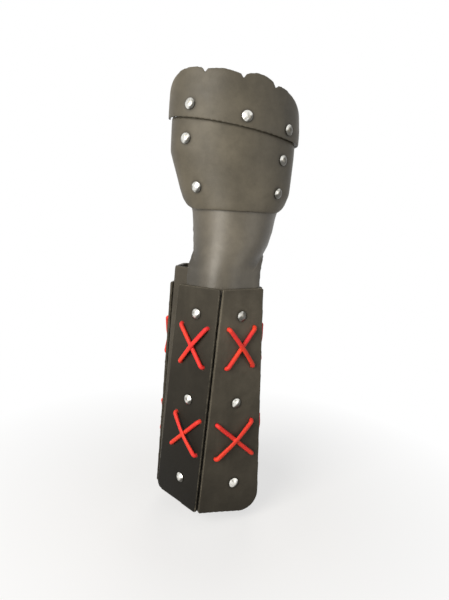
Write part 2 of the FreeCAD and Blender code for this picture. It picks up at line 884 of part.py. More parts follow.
hand_outline = front_outline("hand_plate_front", [
    (-wide, level), *corners, (wide, level),
    (wide, knuckle_line(wide, dim("lap"))),
    (-wide, knuckle_line(-wide, dim("lap"))),
], {
    1: bulge_radius(corners[0], corners[1], dim("plate_corner_rise")),
    3: bulge_radius(corners[2], corners[3], dim("plate_corner_rise")),
})
over = dim("overrun")
hand_heights = [heights["cuff"] - over, heights["heel"], heights["palm"], heights["knuckle"],
                heights["knuckle"] + over * 2]
hand_blank = form_plate("hand_plate", hand_heights, dim("plate_fit") + dim("plate_thickness"), hand_outline)

# Notches of the scalloped top: shares of the knuckles' half width, and of the fingers' rise above them.
SCALLOP_SHARES = ((-0.9962, 0.4468), (-0.6955, 0.8723), (-0.4098, 0.8319),
                  (0.1805, 0.7489), (0.6917, 0.6766), (1.188, 0.0638))
RISES = ("shoulder_rise", "lobe_one_rise", "lobe_two_rise", "lobe_three_rise", "lobe_four_rise")
scallops = [(dim("knuckle_half") * across, heights["knuckle"] + dim("finger_rise") * up)
            for across, up in SCALLOP_SHARES]
knuckle_points = [(-wide, knuckle_line(-wide, 0)), (-wide, scallops[0][1])] + scallops
knuckle_points += [(wide, scallops[-1][1]), (wide, knuckle_line(wide, 0))]
knuckle_radii = {}
for step, rise in enumerate(RISES):
    knuckle_radii[step + 2] = -bulge_radius(scallops[step], scallops[step + 1], dim(rise))
knuckle_outline = front_outline("knuckle_plate_front", knuckle_points, knuckle_radii)
knuckle_heights = [heights[name] for name in ("palm", "knuckle", "finger")]
outer_rim = rim + dim("slide_gap") + dim("plate_thickness")
knuckle_blank = form_plate("knuckle_plate", knuckle_heights, outer_rim, knuckle_outline)


# The hinge leather and the finger strap stand square to the sloping knuckle line.
def on_knuckle_slope(body):
    pivot = Vector(0, 0, knuckle_edge.value)
    slope = FreeCAD.Rotation(Vector(0, 1, 0), size("knuckle_slope"))
    body.Placement = FreeCAD.Placement(pivot, slope)
    return body


slope = dim("knuckle_slope")
hinge = on_knuckle_slope(new_body("knuckle_hinge_blank"))
hinge_sections = []
for rise, step in (("hinge_below", None), ("hinge_step_low", 0), ("hinge_step_high", 1), ("hinge_above", 1)):
    level = -dim(rise) if step is None else dim(rise)
    offset = dim("hinge_step") * (step or 0)
    hinge_sections.append(form_section(hinge, knuckle_edge + level, offset, dim("hinge_thickness"),
                                       wrap=dim("hinge_wrap"), lean_back=slope))
loft(hinge, "hinge_loft", hinge_sections)


STRAP_START_SHARE = 0.6


def loop_section(body, height, offset, depth, lean_back=None):
    # a strap inside the form: from the crown's shoulders down both sides and straight across the palm
    form = form_at(height)
    lift = height
    across = form["shift"]
    if lean_back is not None:
        lift = height - knuckle_edge
        across = across - lift * sine(lean_back)
    sketch = new_sketch(body, "loop_section", "XY_Plane", across=across, lift=lift, turn=form["turn"])
    paths = []
    for inset in (measure(0), dim("hand_strap_thickness")):
        arch, radii = form_path(form["half"], form["crown"], offset - inset, tail=measure(0))
        small, big = radii[1], radii[2]
        side = arch[-1][0]
        bend = dim("hand_strap_bend") - inset
        low = depth - inset
        angle = arc_sine(form["half"] * STRAP_START_SHARE / (big - offset + inset))
        start = (big * sine(angle), big * (1 - cosine(angle)) - form["crown"] - (offset - inset))
        right = [start, arch[3], (side, 0), (side, low - bend), (side - bend, low)]
        left = [(-x, y) for x, y in right]
        paths.append((right + left[::-1], {0: big, 1: small, 3: bend, 5: bend, 7: small, 8: big}))
    (outer, outer_radii), (inner, inner_radii) = paths
    shell_section(sketch, outer, inner, outer_radii, inner_radii)
    return sketch


def hand_loop(label, height, width, offset, depth, lean_back=None):
    body = new_body(label + "_blank")
    if lean_back is not None:
        on_knuckle_slope(body)
    sections = [loop_section(body, height + width * side, offset, depth, lean_back) for side in (-0.5, 0.5)]
    loft(body, label + "_loft", sections)
    return body


palm_offset = -dim("guard_thickness") - dim("hand_strap_fit")
palm_blank = hand_loop("palm_strap", heights["cuff"] + dim("palm_strap_rise"), dim("palm_strap_width"),
                       palm_offset, dim("palm_strap_depth"))
finger_offset = -dim("finger_strap_inset")
finger_height = knuckle_edge + dim("finger_strap_rise") + dim("finger_strap_width") / 2
finger_blank = hand_loop("finger_strap", finger_height, dim("finger_strap_width"), finger_offset,
                         dim("finger_strap_depth"), slope)


def form_point(height, share, offset):
    # a point at the given distance outside the form, at a share of the half width from the middle
    form = {name: value.value for name, value in form_at(measure(height)).items()}
    side = form["half"] * size("side_round_share")
    reach = form["half"] - side
    crown = form["crown"]
    big = (reach ** 2 + crown ** 2 - side ** 2) / (2 * (crown - side))
    x = abs(share) * form["half"]
    if x < big * reach / (big - side):
        middle = Vector(0, big - crown, 0)
        out = Vector(x, -math.sqrt(big ** 2 - x ** 2), 0).normalize()
        place = middle + out * (big + offset)
    else:
        middle = Vector(reach, 0, 0)
        out = Vector(x - reach, -math.sqrt(side ** 2 - (x - reach) ** 2), 0).normalize()
        place = middle + out * (side + offset)
    place.x = math.copysign(place.x, share)
    place = FreeCAD.Rotation(Z_AXIS, form["turn"]).multVec(place)
    return place + Vector(form["shift"], 0, height)


def form_normal(height, share, offset):
    step = size("cap_rim")
    beside = share + step / size("knuckle_half")
    around = form_point(height, beside, offset) - form_point(height, share, offset)
    upward = form_point(height + step, share, offset) - form_point(height - step, share, offset)
    return around.cross(upward).normalize()


# Rivets of the hand: heights from the cuff's and the knuckles' edges, shares of the half width from the
# middle, and the innermost piece that each one holds.
fit = size("rivet_fit")
HAND_RIVET_SHARES = (-0.8, 0.74, -0.74, 0.7)
hand_rivet_heights = [knuckle_edge - dim("hand_rivet_drop_" + side) for side in ("left", "right")]
hand_rivet_heights += [heights["cuff"] + dim("hand_rivet_rise_" + side) for side in ("left", "right")]
hand_walls = (hinge, hinge, palm_blank, palm_blank)
KNUCKLE_RIVET_SHARES = (-0.73, 0.075, 0.75)
knuckle_rivet_heights = [knuckle_edge + dim("knuckle_rivet_" + name) for name in ("left", "middle", "right")]
knuckle_walls = (finger_blank, hinge, finger_blank)
doc.recompute()


def form_rivets(places, shares, walls, outside):
    rivets = []
    holes = []
    for place, share, wall in zip(places, shares, walls):
        point = form_point(place.value, share, outside + fit)
        normal = form_normal(place.value, share, outside + fit)
        round_wall = size("side_round_share") * size("knuckle_half") - size("hand_strap_thickness") * 2
        hollow = size("back_cap_radius") ** 2 / (2 * round_wall)
        grip = wall_depth(point, normal, wall) + hollow + size("back_cap_gap")
        rivets.append(rivet(point, normal, grip))
        holes.append(drill(point, normal, grip, size("shank_radius") + fit))
    return rivets, holes


hand_rivets, hand_holes = form_rivets(hand_rivet_heights, HAND_RIVET_SHARES, hand_walls, rim.value)
knuckle_rivets, knuckle_holes = form_rivets(knuckle_rivet_heights, KNUCKLE_RIVET_SHARES, knuckle_walls,
                                            outer_rim.value)
cut_away(guard, guard_holes + hand_holes[2:], "wrist_guard")
cut_away(hand_blank, hand_holes, "hand_plate")
group("hand_plate_rivets", hand_rivets)
cut_away(palm_blank, hand_holes[2:], "palm_strap")
cut_away(knuckle_blank, knuckle_holes, "knuckle_plate")
group("knuckle_plate_rivets", knuckle_rivets)
cut_away(hinge, hand_holes[:2] + knuckle_holes, "knuckle_hinge_leather")
cut_away(finger_blank, [knuckle_holes[0], knuckle_holes[2]], "finger_strap")


# Closure straps. Each buckle stands on the tube's left back flat, in its own frame: X points along the flat
# to the opening, Y runs up the tube and Z stands off the leather. The buckle's heel bar crosses X zero.
def back_flat(height, side):
    # a point of the opening's edge, the way from there round the tube, and the outward direction
    share = height / base_height.value
    rings = [tube_outline(level, 0) for level in (0, base_share)]
    if side > 0:
        rings = [ring[::-1] for ring in rings]
    low, high = [[Vector(measure(x).value, measure(y).value, 0) for x, y in ring[:2]] for ring in rings]
    twists = (section(0)["twist"].value, section(base_share)["twist"].value)
    low = [FreeCAD.Rotation(Z_AXIS, twists[0]).multVec(point) for point in low]
    high = [FreeCAD.Rotation(Z_AXIS, twists[1]).multVec(point) for point in high]
    edge, corner = [one * (1 - share) + two * share for one, two in zip(low, high)]
    rise = (high[0] - low[0]) + Vector(0, 0, base_height.value)
    around = (corner - edge).normalize()
    outward = around.cross(rise).normalize() * -side
    return edge + Vector(0, 0, height), around, outward


def buckle_frame_placement(height):
    edge, around, outward = back_flat(height, -1)
    along = -around
    across = outward.cross(along)
    turn = FreeCAD.Rotation(along, across, outward, "ZXY")
    return FreeCAD.Placement(edge + around * size("bar_inset"), turn)


thick = dim("strap_thickness")
wire = dim("wire_radius")
lower_layer = dim("strap_seat") + thick / 2
bar_level = dim("strap_seat") + thick + dim("wire_fit") + wire
fold = wire + dim("wire_fit") + thick / 2
upper_layer = dim("strap_seat") + thick * 1.5 + dim("chape_gap")
tail_level = upper_layer + thick + dim("wire_fit") * 2 + dim("cap_dome")


def swept(body, path_points, path_radii, profile):
    spine = new_sketch(body, "path", "XZ_Plane")
    draw(spine, path_points, path_radii, False)
    pipe = body.newObject("PartDesign::AdditivePipe", "sweep")
    pipe.Profile = (profile, [""])
    pipe.Spine = (spine, ["Edge%d" % (step + 1) for step in range(spine.GeometryCount)])
    pipe.Transition = "Right corner"
    spine.Visibility = False
    profile.Visibility = False
    body.Tip = pipe
    doc.recompute()
    return body


def band_profile(body, start, level, width):
    # a strap's cross section, at the path's start and square to X
    sketch = new_sketch(body, "band", "YZ_Plane", lift=start)
    low = level - thick / 2
    high = level + thick / 2
    draw(sketch, [(-width / 2, low), (width / 2, low), (width / 2, high), (-width / 2, high)])
    return sketch


def wire_profile(body, start, level, radius, role="YZ_Plane"):
    sketch = new_sketch(body, "wire", role, lift=start)
    circle = sketch.addGeometry(Part.Circle(Vector(0, level.value, 0), Z_AXIS, radius.value))
    pin(sketch, circle, 3, (measure(0), level))
    bound = sketch.addConstraint(Sketcher.Constraint("Radius", circle, radius.value))
    sketch.setExpression("Constraints[%d]" % bound, radius.text)
    return sketch


def chape(label, placement):
    body = new_body(label + "_blank")
    profile = band_profile(body, -dim("chape_length"), lower_layer, dim("strap_width"))
    points = [
        (-dim("chape_length"), lower_layer),
        (0, lower_layer),
        (fold, bar_level),
        (0, lower_layer + fold * 2),
        (-dim("fold_run"), lower_layer + fold * 2),
        (-dim("fold_end"), upper_layer),
        (-dim("chape_length"), upper_layer),
    ]
    swept(body, points, {1: fold, 2: fold}, profile)
    body.Placement = placement
    return body


def frame(label, placement):
    body = new_body(label)
    half = dim("strap_width") / 2 + dim("frame_side_gap") + wire
    bend = dim("frame_corner")
    reach = dim("bar_spacing")
    profile = wire_profile(body, None, bar_level, wire, "XZ_Plane")
    spine = new_sketch(body, "frame_path", "XY_Plane", lift=bar_level)
    draw(spine, [(0, 0), (0, bend - half), (bend, -half), (reach - bend, -half), (reach, bend - half),
                 (reach, half - bend), (reach - bend, half), (bend, half), (0, half - bend)],
         {1: bend, 3: bend, 5: bend, 7: bend})
    pipe = body.newObject("PartDesign::AdditivePipe", "frame_sweep")
    pipe.Profile = (profile, [""])
    pipe.Spine = (spine, ["Edge%d" % (step + 1) for step in range(spine.GeometryCount)])
    body.Tip = pipe
    doc.recompute()
    body.Placement = placement
    return node(body, label)


def tongue(label, placement):
    body = new_body(label)
    thin = dim("tongue_radius")
    ring = wire + dim("wire_fit") + thin
    profile = wire_profile(body, dim("bar_spacing") + dim("tongue_over"), bar_level + ring, thin)
    swept(body, [(dim("bar_spacing") + dim("tongue_over"), bar_level + ring), (0, bar_level + ring),
                 (-ring, bar_level), (0, bar_level - ring), (ring, bar_level)],
          {1: ring, 2: ring, 3: ring}, profile)
    body.Placement = placement
    return node(body, label)


def keeper(label, placement):
    body = new_body(label)
    sketch = new_sketch(body, "ring", "YZ_Plane", lift=-dim("keeper_place"))
    side = dim("strap_width") / 2 + dim("wire_fit")
    low = dim("strap_seat") + thick + dim("wire_fit")
    wall = dim("keeper_thickness")
    high = tail_level + thick / 2 + dim("wire_fit") + wall
    draw(sketch, [(-side - wall, low), (side + wall, low), (side + wall, high), (-side - wall, high)])
    draw(sketch, [(-side, low + wall), (side, low + wall), (side, high - wall), (-side, high - wall)])
    pad = body.newObject("PartDesign::Pad", "keeper_pad")
    pad.Profile = sketch
    pad.setExpression("Length", "sizes.keeper_width")
    pad.SideType = "Symmetric"
    body.Tip = pad
    doc.recompute()
    body.Placement = placement
    return node(body, label)


def closure_strap(label, placement, height):
    body = new_body(label + "_blank")
    share = measure(height) / dim("splint_length")
    apex = (section(share)["opening"] / 2) / cosine(back_lean) + dim("bar_inset")
    corner = apex + lower_layer * tangent(back_lean)
    fall = back_lean * 2
    profile = band_profile(body, -dim("tail_reach"), tail_level, dim("strap_width"))
    swept(body, [
        (-dim("tail_reach"), tail_level),
        (dim("strap_rise_end"), tail_level),
        (dim("bar_spacing") - dim("strap_rise_start"), lower_layer),
        (corner, lower_layer),
        (corner + cosine(fall) * dim("strap_end"), lower_layer - sine(fall) * dim("strap_end")),
    ], {}, profile)
    body.Placement = placement
    return body, corner, fall


def local_box(placement, low, high):
    block = Part.makeBox(high[0] - low[0], high[1] - low[1], high[2] - low[2], Vector(*low))
    block.Placement = placement
    return block


def closure(level, height):
    placement = buckle_frame_placement(height)
    over = size("overrun")
    half_slot = size("chape_slot") / 2
    half_hole = size("tongue_radius") + size("tongue_side_gap")
    reach = fold.value + thick.value
    outward = placement.Rotation.multVec(Z_AXIS)
    chape_blank = chape(level + "_buckle_chape", placement)
    strap_blank, corner, fall = closure_strap(level + "_strap", placement, height)

    top = upper_layer.value + thick.value / 2 + fit
    chape_point = placement.multVec(Vector(-size("chape_rivet"), 0, top))
    chape_grip = wall_depth(chape_point, outward, base_blank) + size("back_cap_gap")
    drop = Vector(math.sin(math.radians(fall.value)), 0, math.cos(math.radians(fall.value)))
    way = Vector(drop.z, 0, -drop.x)
    seat = Vector(corner.value, 0, lower_layer.value) + way * size("strap_rivet")
    end_point = placement.multVec(seat + drop * (thick.value / 2 + fit))
    end_normal = placement.Rotation.multVec(drop)
    end_grip = wall_depth(end_point, end_normal, base_blank) + size("back_cap_gap")
    radius = size("shank_radius") + fit
    chape_hole = drill(chape_point, outward, chape_grip, radius)
    end_hole = drill(end_point, end_normal, end_grip, radius)

    slot = local_box(placement, (-reach, -half_slot, -over), (reach, half_slot, tail_level.value))
    cross = (size("strap_rise_end") + (size("bar_spacing") - size("strap_rise_start"))) / 2
    hole = local_box(placement, (cross - size("slot_before"), -half_hole, -over),
                     (cross + size("slot_after"), half_hole, tail_level.value + over))
    cut_away(chape_blank, [slot, chape_hole], level + "_buckle_chape")
    cut_away(strap_blank, [hole, end_hole], level + "_strap")
    frame(level + "_buckle_frame", placement)
    tongue(level + "_buckle_tongue", placement)
    keeper(level + "_keeper", placement)
    rivets = [rivet(chape_point, outward, chape_grip), rivet(end_point, end_normal, end_grip)]
    return rivets, [chape_hole, end_hole]


STRAP_ROW_SHARES = {"lower": 0.2528, "upper": 0.7778}
strap_rivets = []
for level, share in STRAP_ROW_SHARES.items():
    rivets, holes = closure(level, size("splint_length") * share)
    strap_rivets += rivets
    tube_holes += holes
group("strap_rivets", strap_rivets)
cut_away(base_blank, tube_holes, "forearm_base")
doc.recompute()

for thing in doc.Objects:
    if "Invalid" in thing.State or "Error" in thing.State:
        raise RuntimeError("%s: %s" % (thing.Label, thing.State))
for thing in nodes:
    if thing.Shape.isNull() or not thing.Shape.isValid():
        raise RuntimeError("%s has no valid shape" % thing.Label)

os.makedirs("parts", exist_ok=True)
for thing in nodes:
    thing.Shape.exportStep(os.path.join("parts", thing.Label + ".step"))
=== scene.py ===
import math

import bmesh
import bpy
import numpy as np
from mathutils import Matrix, Vector, noise
from mathutils.bvhtree import BVHTree
from mathutils.kdtree import KDTree


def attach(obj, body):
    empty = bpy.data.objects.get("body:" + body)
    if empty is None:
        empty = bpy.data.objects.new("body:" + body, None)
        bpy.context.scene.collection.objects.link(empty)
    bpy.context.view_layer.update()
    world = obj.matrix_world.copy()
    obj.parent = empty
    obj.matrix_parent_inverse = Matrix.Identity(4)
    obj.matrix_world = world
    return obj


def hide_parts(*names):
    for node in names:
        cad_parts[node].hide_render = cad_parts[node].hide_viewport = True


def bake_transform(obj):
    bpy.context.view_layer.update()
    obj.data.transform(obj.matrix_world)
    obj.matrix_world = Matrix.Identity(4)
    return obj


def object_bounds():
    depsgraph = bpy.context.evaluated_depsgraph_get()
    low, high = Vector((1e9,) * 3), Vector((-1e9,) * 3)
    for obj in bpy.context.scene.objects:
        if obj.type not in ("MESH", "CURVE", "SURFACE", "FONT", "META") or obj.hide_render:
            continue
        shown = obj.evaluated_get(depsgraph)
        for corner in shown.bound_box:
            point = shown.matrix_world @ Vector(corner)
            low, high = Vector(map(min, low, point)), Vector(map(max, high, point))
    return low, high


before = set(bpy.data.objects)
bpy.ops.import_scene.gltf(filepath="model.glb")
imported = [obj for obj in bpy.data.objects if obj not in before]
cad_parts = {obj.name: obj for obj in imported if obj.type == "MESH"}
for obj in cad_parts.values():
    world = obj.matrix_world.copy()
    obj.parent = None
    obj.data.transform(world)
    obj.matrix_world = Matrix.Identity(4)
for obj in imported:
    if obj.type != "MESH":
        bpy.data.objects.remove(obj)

MM = 0.001
cad_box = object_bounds()
scene = bpy.context.scene
scene.view_settings.view_transform = "Standard"


# Camera. It stands a forearm's length and more in front of the back of the hand, a little above the
# middle, looks down a few degrees and is rolled a few degrees, as the photograph was taken.
CAMERA_PLACE = Vector((1.21, -437.0, 261.88)) * MM
CAMERA_YAW, CAMERA_PITCH, CAMERA_ROLL = (math.radians(angle) for angle in (0.43, -9.4, 3.23))
FOCAL_SHARE = 465.0 / 600.0

camera = bpy.data.objects.new("camera", bpy.data.cameras.new("camera"))
scene.collection.objects.link(camera)
forward = Vector((math.sin(CAMERA_YAW) * math.cos(CAMERA_PITCH),
                  math.cos(CAMERA_YAW) * math.cos(CAMERA_PITCH), math.sin(CAMERA_PITCH)))
level = Vector((math.cos(CAMERA_YAW), -math.sin(CAMERA_YAW), 0))
upright = level.cross(forward)
right = level * math.cos(CAMERA_ROLL) + upright * math.sin(CAMERA_ROLL)
up = upright * math.cos(CAMERA_ROLL) - level * math.sin(CAMERA_ROLL)
camera.matrix_world = Matrix((right, up, -forward)).transposed().to_4x4()
camera.location = CAMERA_PLACE
camera.data.lens = camera.data.sensor_width * FOCAL_SHARE
camera.data.clip_start = 10 * MM
scene.camera = camera


# Studio. A pale floor under the elbow end, a world that is white to the eye and dim as a light, and
# three soft lamps: the key high on the thumb side, a weak fill opposite and one behind for the rim.
FLOOR_DROP = 12 * MM
FLOOR_HALF = 8.0
FLOOR_BOUNCE = 0.16
FLOOR_GLOW = 0.62
CLOTH_GREY = 0.92
SHADOW_REACH = (0.10, 0.34)
WORLD_LIGHT = 0.2
LAMP_COLOUR = (1.0, 0.955, 0.88)
AIM = Vector((0.0, 0.0, 0.26))
LAMPS = {
    "key": ((-0.58, -0.80, 0.52), (0.6, 0.9), 12.5),
    "fill": ((0.95, -0.70, 0.3), (0.8, 0.8), 3.0),
    "rim": ((0.1, 1.1, 0.9), (0.8, 0.8), 4.0),
}


def node_with(tree, kind, inputs=(), **settings):
    # a new node with its settings made and its inputs linked or filled in
    node = tree.nodes.new(kind)
    for name, value in settings.items():
        setattr(node, name, value)
    for name, value in dict(inputs).items():
        if isinstance(value, bpy.types.NodeSocket):
            tree.links.new(value, node.inputs[name])
        else:
            node.inputs[name].default_value = value
    return node


def worked(tree, operation, one, two=0.0, clamp=False):
    node = node_with(tree, "ShaderNodeMath", {0: one, 1: two}, operation=operation, use_clamp=clamp)
    return node.outputs[0]


def seen_ray(tree):
    # 1 where the eye, a reflection or a see-through material looks at the background, 0 for its light
    path = tree.nodes.new("ShaderNodeLightPath").outputs
    mirrored = worked(tree, "MAXIMUM", path["Is Glossy Ray"], path["Is Transmission Ray"])
    return worked(tree, "MAXIMUM", path["Is Camera Ray"], mirrored)


world = bpy.data.worlds.new("studio")
world.use_nodes = True
tree = world.node_tree
seen = seen_ray(tree)
strength = worked(tree, "ADD", worked(tree, "MULTIPLY", seen, 1 - WORLD_LIGHT), WORLD_LIGHT)
tree.links.new(strength, tree.nodes["Background"].inputs["Strength"])
tree.nodes["Background"].inputs["Color"].default_value = (1, 1, 1, 1)
scene.world = world

for name, (place, (wide, tall), power) in LAMPS.items():
    lamp = bpy.data.lights.new(name, "AREA")
    lamp.shape = "RECTANGLE"
    lamp.size = wide
    lamp.size_y = tall
    lamp.energy = power
    lamp.color = LAMP_COLOUR
    stand = bpy.data.objects.new(name, lamp)
    stand.location = place
    stand.rotation_euler = (AIM - stand.location).to_track_quat("-Z", "Y").to_euler()
    scene.collection.objects.link(stand)

floor_level = cad_box[0].z - FLOOR_DROP
floor_mesh = bpy.data.meshes.new("floor")
floor_mesh.from_pydata([(-FLOOR_HALF, -FLOOR_HALF, floor_level), (FLOOR_HALF, -FLOOR_HALF, floor_level),
                        (FLOOR_HALF, FLOOR_HALF, floor_level), (-FLOOR_HALF, FLOOR_HALF, floor_level)],
                       [], [(0, 1, 2, 3)])
floor = bpy.data.objects.new("floor", floor_mesh)
scene.collection.objects.link(floor)
paint = bpy.data.materials.new("pale_floor")
paint.use_nodes = True
tree = paint.node_tree
tree.nodes.clear()
place = tree.nodes.new("ShaderNodeTexCoord").outputs["Object"]
away = node_with(tree, "ShaderNodeVectorMath", {0: place}, operation="LENGTH").outputs["Value"]
near, far = SHADOW_REACH
fade = node_with(tree, "ShaderNodeMapRange", {"Value": away, "From Min": near, "From Max": far,
                                              "To Min": FLOOR_GLOW}).outputs["Result"]
cloth = node_with(tree, "ShaderNodeBsdfDiffuse", {"Color": (CLOTH_GREY, CLOTH_GREY, CLOTH_GREY, 1)})
dull = node_with(tree, "ShaderNodeBsdfDiffuse", {"Color": (FLOOR_BOUNCE, FLOOR_BOUNCE, FLOOR_BOUNCE, 1)})
glow = node_with(tree, "ShaderNodeEmission", {"Color": (1, 1, 1, 1), "Strength": 1.0})
pale = node_with(tree, "ShaderNodeMixShader", {0: fade, 1: cloth.outputs[0], 2: glow.outputs[0]})
shown = node_with(tree, "ShaderNodeMixShader", {0: seen_ray(tree), 1: dull.outputs[0], 2: pale.outputs[0]})
node_with(tree, "ShaderNodeOutputMaterial", {"Surface": shown.outputs[0]})
floor_mesh.materials.append(paint)


# Splints. Four flat plates of hard, flat leather, dyed dark, cut with a knife and burnished along the edges,
# with shade painted in that darkens them towards the elbow and most on the left front plate. Each lies on
# one side of the tube, held by three rivets and two crosses of red lace.
RIVET_GROUPS = {"splint_rivets": "forearm", "strap_rivets": "forearm", "hand_plate_rivets": "hand",
                "knuckle_plate_rivets": "knuckle"}
SHARP = math.radians(70)
EDGE_STEP = 1.0 * MM
EDGE_REACH = 0.9 * MM
DINT_RADIUS = 4.5 * MM
DINT_REACH = 1.7 * MM
DINT_DEPTH = 0.22 * MM
DINT_LEVEL = 3 * MM
WAVE_SIZE = 26 * MM
WAVE_DEPTH = 0.16 * MM
CAP_DOME = 2.3 * MM
MERGE_GAP = 0.002 * MM
SPLINT_GRID = 0.75 * MM
FOOT_TO_WRIST = (0.0, 0.2)
GRIME_AND_SHADE = (0.012, 0.011, 0.009)
PALE, DEEP, RUBBED = 1.38, 0.68, 1.65
CLOUD_SCALE, MOTTLE_SCALE, SCUFF_SCALE = 20.0, 130.0, 60.0
SCUFF_STRETCH = (1.0, 1.0, 0.12)
PEBBLE_SCALE, PORE_SCALE = 850.0, 700.0
GRAIN_DEPTH = 0.12 * MM


def merged_copy(node, name):
    # a copy of a solid's mesh with its loose triangles merged, as an object of its own
    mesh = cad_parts[node].data.copy()
    mesh.materials.clear()
    shape = bmesh.new()
    shape.from_mesh(mesh)
    bmesh.ops.remove_doubles(shape, verts=shape.verts, dist=MERGE_GAP)
    shape.to_mesh(mesh)
    shape.free()
    copy = bpy.data.objects.new(name, mesh)
    scene.collection.objects.link(copy)
    return copy


def coordinates(mesh):
    flat = np.empty(len(mesh.vertices) * 3)
    mesh.vertices.foreach_get("co", flat)
    return flat.reshape(-1, 3)


def normals_of(mesh):
    flat = np.empty(len(mesh.vertices) * 3)
    mesh.vertices.foreach_get("normal", flat)
    return flat.reshape(-1, 3)


def place_points(mesh, places):
    mesh.vertices.foreach_set("co", places.ravel())
    mesh.update()


def point_value(mesh, name, values):
    attribute = mesh.attributes.new(name, "FLOAT", "POINT")
    attribute.data.foreach_set("value", np.asarray(values, dtype=np.float32))


def rivets_in(node):
    # the axis of each rivet of a group: the centre under its cap, the outward direction and the grip
    copy = merged_copy(node, node + "_axes")
    shape = bmesh.new()
    shape.from_mesh(copy.data)
    shape.verts.ensure_lookup_table()
    seen = set()
    found = []
    for seed in shape.verts:
        if seed.index in seen:
            continue
        seen.add(seed.index)
        stack, points = [seed], []
        while stack:
            vert = stack.pop()
            points.append(vert.co.copy())
            for edge in vert.link_edges:
                other = edge.other_vert(vert)
                if other.index not in seen:
                    seen.add(other.index)
                    stack.append(other)
        points = np.array(points)
        middle = (points.min(axis=0) + points.max(axis=0)) / 2
        spreads, ways = np.linalg.eigh(np.cov((points - points.mean(axis=0)).T))
        way = ways[:, 0] if spreads[1] - spreads[0] > spreads[2] - spreads[1] else ways[:, 2]
        if way[0] * middle[0] + way[1] * middle[1] < 0:
            way = -way
        along = points @ way
        across = points - np.outer(along, way)
        centre = (across.min(axis=0) + across.max(axis=0)) / 2
        centre = centre - way * (centre @ way)
        found.append((centre, way, along.min(), along.max()))
    shape.free()
    bpy.data.objects.remove(copy)
    return found


rivets = {node: rivets_in(node) for node in RIVET_GROUPS}
caps = [(centre + way * (high - CAP_DOME), way)
        for group in rivets.values() for centre, way, low, high in group]


def edge_points(mesh):
    # points along the sharp edges of a merged mesh
    shape = bmesh.new()
    shape.from_mesh(mesh)
    points = []
    for edge in shape.edges:
        if len(edge.link_faces) == 2 and edge.calc_face_angle(0) < SHARP:
            continue
        start, end = (vert.co for vert in edge.verts)
        count = max(1, math.ceil((end - start).length / EDGE_STEP))
        points += [start.lerp(end, share / count) for share in range(count + 1)]
    shape.free()
    return points


def nearness(places, points, reach):
    # 1 at the points, falling to 0 with the distance from them
    tree = KDTree(len(points))
    for index, point in enumerate(points):
        tree.insert(point, index)
    tree.balance()
    gaps = np.array([tree.find(place)[2] for place in places])
    return np.exp(-((gaps / reach) ** 2))


def applied(piece):
    # the piece's modifiers made part of its mesh
    ready = piece.evaluated_get(bpy.context.evaluated_depsgraph_get())
    mesh = bpy.data.meshes.new_from_object(ready)
    piece.modifiers.clear()
    piece.data = mesh


def remeshed(piece, voxel, smooth):
    # an even fine mesh in place of the cut solid's, its cut edges rounded by smoothing
    grid = piece.modifiers.new("grid", "REMESH")
    grid.mode = "VOXEL"
    grid.voxel_size = voxel
    soften = piece.modifiers.new("soften", "SMOOTH")
    soften.factor = 0.5
    soften.iterations = smooth
    applied(piece)


def eased(piece, steps):
    # bends eased out all over the piece, but not at its cut edges
    hold = piece.vertex_groups.new(name="inside")
    cut = np.empty(len(piece.data.vertices))
    piece.data.attributes["edge"].data.foreach_get("value", cut)
    for index, share in enumerate(cut):
        hold.add([index], float(1 - share), "REPLACE")
    soften = piece.modifiers.new("soften", "SMOOTH")
    soften.factor = 0.5
    soften.iterations = steps
    soften.vertex_group = "inside"
    applied(piece)
    piece.vertex_groups.clear()


def hand_worked(mesh):
    # leather gives a little under each rivet cap and is never quite flat
    places, normals = coordinates(mesh), normals_of(mesh)
    moves = np.zeros(len(places))
    dirt_and_shade = np.zeros(len(places))
    for centre, way in caps:
        away = places - centre
        height = away @ way
        radius = np.linalg.norm(away - np.outer(height, way), axis=1)
        near = (np.abs(height) < DINT_LEVEL) & (radius < 5 * DINT_RADIUS)
        ring = np.exp(-((np.maximum(radius - DINT_RADIUS, 0) / DINT_REACH) ** 2)) * near
        facing = np.clip(normals @ way, 0, 1)
        moves -= ring * facing * DINT_DEPTH
        # the ring is kept as dirt_and_shade: grime and painted contact shade round the cap
        dirt_and_shade = np.maximum(dirt_and_shade, ring * facing)
    waves = np.array([noise.noise(Vector(place) / WAVE_SIZE) for place in places])
    moves += waves * WAVE_DEPTH
    place_points(mesh, places + normals * moves[:, None])
    point_value(mesh, "dirt_and_shade", dirt_and_shade)


def leather_piece(node, body, material, voxel, smooth=6, ease=0, painted_shade=(1.0, 1.0)):
    # one CAD solid as worked leather; painted_shade is how much of the dye's own colour is left at the elbow
    # end and at the wrist end, the rest painted near black as shade, and a piece with no body is left
    # unattached
    piece = merged_copy(node, node + "_leather")
    edges = edge_points(piece.data)
    remeshed(piece, voxel * (1), smooth)
    point_value(piece.data, "edge", nearness(coordinates(piece.data), edges, EDGE_REACH))
    if ease:
        eased(piece, ease // (1))
    hand_worked(piece.data)
    point_value(piece.data, "painted_shade", np.interp(coordinates(piece.data)[:, 2], FOOT_TO_WRIST, painted_shade))
    piece.data.materials.append(material)
    piece.data.shade_smooth()
    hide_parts(node)
    if body:
        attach(piece, body)
    return piece


def new_material(name):
    material = bpy.data.materials.new(name)
    material.use_nodes = True
    tree = material.node_tree
    return material, tree, tree.nodes["Principled BSDF"]


def noise_of(tree, place, scale, detail=4.0, rough=0.55, stretch=(1, 1, 1)):
    moved = node_with(tree, "ShaderNodeMapping", {"Vector": place, "Scale": stretch}).outputs[0]
    return node_with(tree, "ShaderNodeTexNoise", {"Vector": moved, "Scale": scale, "Detail": detail,
                                                  "Roughness": rough}).outputs["Fac"]


def mapped(tree, value, low, high, to_low=0.0, to_high=1.0):
    return node_with(tree, "ShaderNodeMapRange", {"Value": value, "From Min": low, "From Max": high,
                                                  "To Min": to_low, "To Max": to_high}).outputs["Result"]


